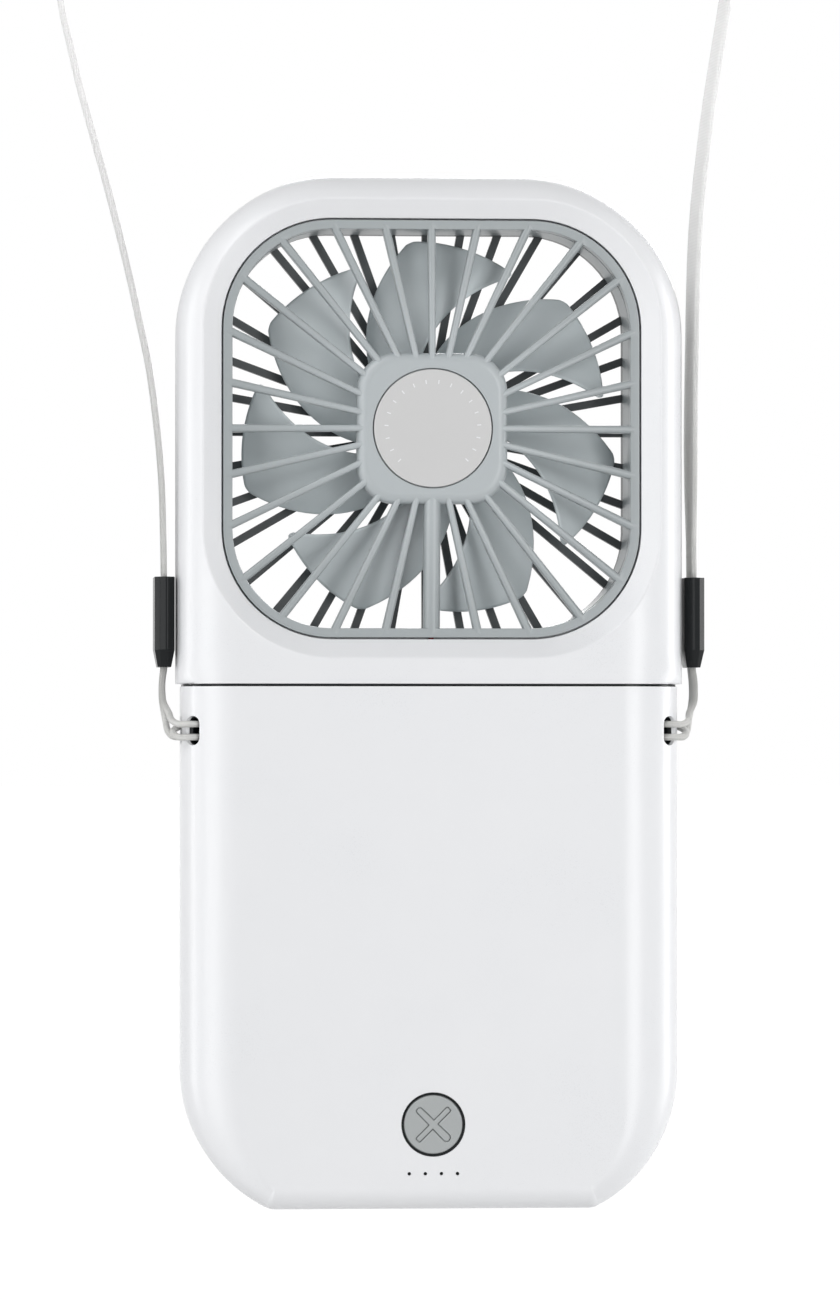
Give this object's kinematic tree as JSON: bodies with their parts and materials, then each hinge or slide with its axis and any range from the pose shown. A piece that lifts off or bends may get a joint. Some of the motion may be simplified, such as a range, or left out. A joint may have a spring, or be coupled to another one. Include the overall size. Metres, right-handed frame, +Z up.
{
  "type": "folding fan",
  "caption": "Pocket fan on a neck strap: a flat power-bank base with a square fan head hinged behind its top edge, so that the head folds back over the base.",
  "frame": {"origin": "top of the neck strap's arch, on the band's outer face, where the neck carries it", "axes": "+Z up the fan from foot to head, +X to the right seen from the front, +Y from the front face to the rear face"},
  "size_m": [0.1051, 0.0222, 0.2433],
  "materials": {
    "case_white": "satin white moulding with a fine even grain",
    "grille_grey": "satin cool grey moulding",
    "grille_dark": "satin dark grey moulding",
    "blade_grey": "satin mid grey moulding",
    "cap_grey": "matt pale grey disc",
    "button_grey": "satin grey key with an engraved cross",
    "clip_black": "semi-gloss black moulding",
    "strap_grey": "smooth pale grey band",
    "cord_pale": "pale round cord",
    "steel": "bright steel",
    "brass": "sintered bronze bush",
    "copper": "enamelled copper winding",
    "magnet_black": "matt ferrite",
    "board_green": "green circuit board",
    "cell_silver": "aluminised pouch",
    "socket_black": "black switch body",
    "light_smoked": "smoked light guide",
    "lead_red": "insulated lead"
  },
  "bodies": {
    "base": {"base_front_shell": "case_white", "base_rear_shell": "case_white", "base_screw_1": "steel", "base_screw_2": "steel", "base_screw_3": "steel", "base_screw_4": "steel", "battery_cell": "cell_silver", "board_screw_left": "steel", "board_screw_right": "steel", "circuit_board": "board_green", "hinge_pin": "steel", "hinge_washer_left": "steel", "hinge_washer_right": "steel", "light_guide": "light_smoked", "motor_lead_base": "lead_red", "neck_strap": "strap_grey", "strap_clip_left": "clip_black", "strap_clip_right": "clip_black", "strap_loop_left": "cord_pale", "strap_loop_right": "cord_pale", "tact_switch": "socket_black", "usb_a_socket": "steel", "usb_c_socket": "steel"},
    "head": {"head_front_shell": "case_white", "head_rear_shell": "case_white", "head_screw_1": "steel", "head_screw_2": "steel", "head_screw_3": "steel", "head_screw_4": "steel", "front_grille": "grille_grey", "rear_grille": "grille_dark", "hub_cap": "cap_grey", "motor_board": "board_green", "stator_core": "steel", "coil_1": "copper", "coil_2": "copper", "coil_3": "copper", "coil_4": "copper", "bearing_bush": "brass", "motor_lead_head": "lead_red"},
    "impeller": {"impeller": "blade_grey", "rotor_yoke": "steel", "rotor_magnet": "magnet_black", "rotor_shaft": "steel"},
    "button": {"power_button": "button_grey", "switch_plunger": "clip_black"}
  },
  "joints": [
    {"name": "head_fold", "type": "hinge", "parent": "base", "child": "head", "pos_m": [0, 0.0099, -0.16525], "axis": [-1, 0, 0], "range_deg": [0, 180]},
    {"name": "impeller_spin", "type": "hinge", "parent": "head", "child": "impeller", "pos_m": [0, 0, -0.12695], "axis": [0, -1, 0], "continuous": true},
    {"name": "button_press", "type": "slide", "parent": "base", "child": "button", "axis": [0, 1, 0], "range_m": [0, 0.0006], "stiffness_N_per_m": 250, "springref_m": -0.001}
  ]
}
